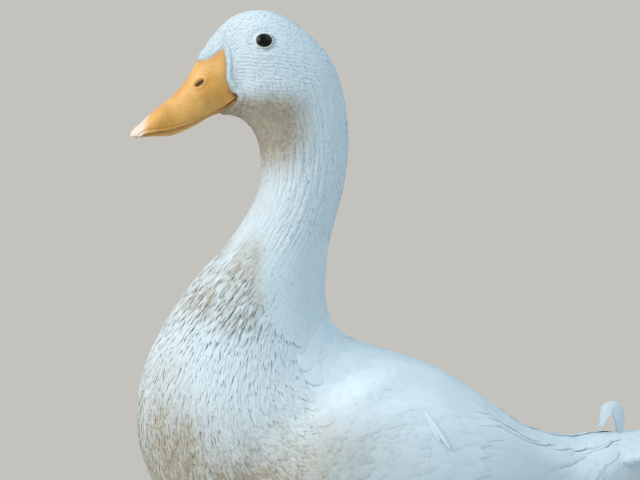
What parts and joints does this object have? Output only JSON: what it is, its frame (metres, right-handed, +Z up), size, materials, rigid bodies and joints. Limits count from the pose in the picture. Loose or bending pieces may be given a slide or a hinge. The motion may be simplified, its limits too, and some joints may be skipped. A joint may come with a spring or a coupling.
{
  "type": "white domestic duck",
  "caption": "Still life-size model of a standing white domestic duck with an upright neck, folded wings, a curled tail feather, an orange bill and webbed orange feet.",
  "frame": {"origin": "on the floor, under the middle of the model's bounding box", "axes": "+Z up; the duck faces -Y and its left side is +X"},
  "size_m": [0.2148, 0.4114, 0.5003],
  "materials": {
    "plumage": "dense white feathers, slightly bluish, dull with a faint silky sheen",
    "breast": "white furrowed feathers with warm grey and buff soiling",
    "bill": "satin yellow-orange horn with a pale pinkish nail at the tip",
    "legs": "scaled orange skin, half matt",
    "eye": "wet, almost black"
  },
  "bodies": {
    "root": {"trunk": "plumage", "neck": "breast", "head": "plumage", "bill_upper": "bill", "bill_lower": "bill", "rump": "plumage", "eye_left": "eye", "eye_right": "eye", "wing_left": "plumage", "wing_right": "plumage", "thigh_left": "plumage", "thigh_right": "plumage", "shank_left": "legs", "shank_right": "legs", "foot_left": "legs", "foot_right": "legs", "tail": "plumage", "curl_1": "plumage", "curl_2": "plumage"}
  },
  "joints": []
}
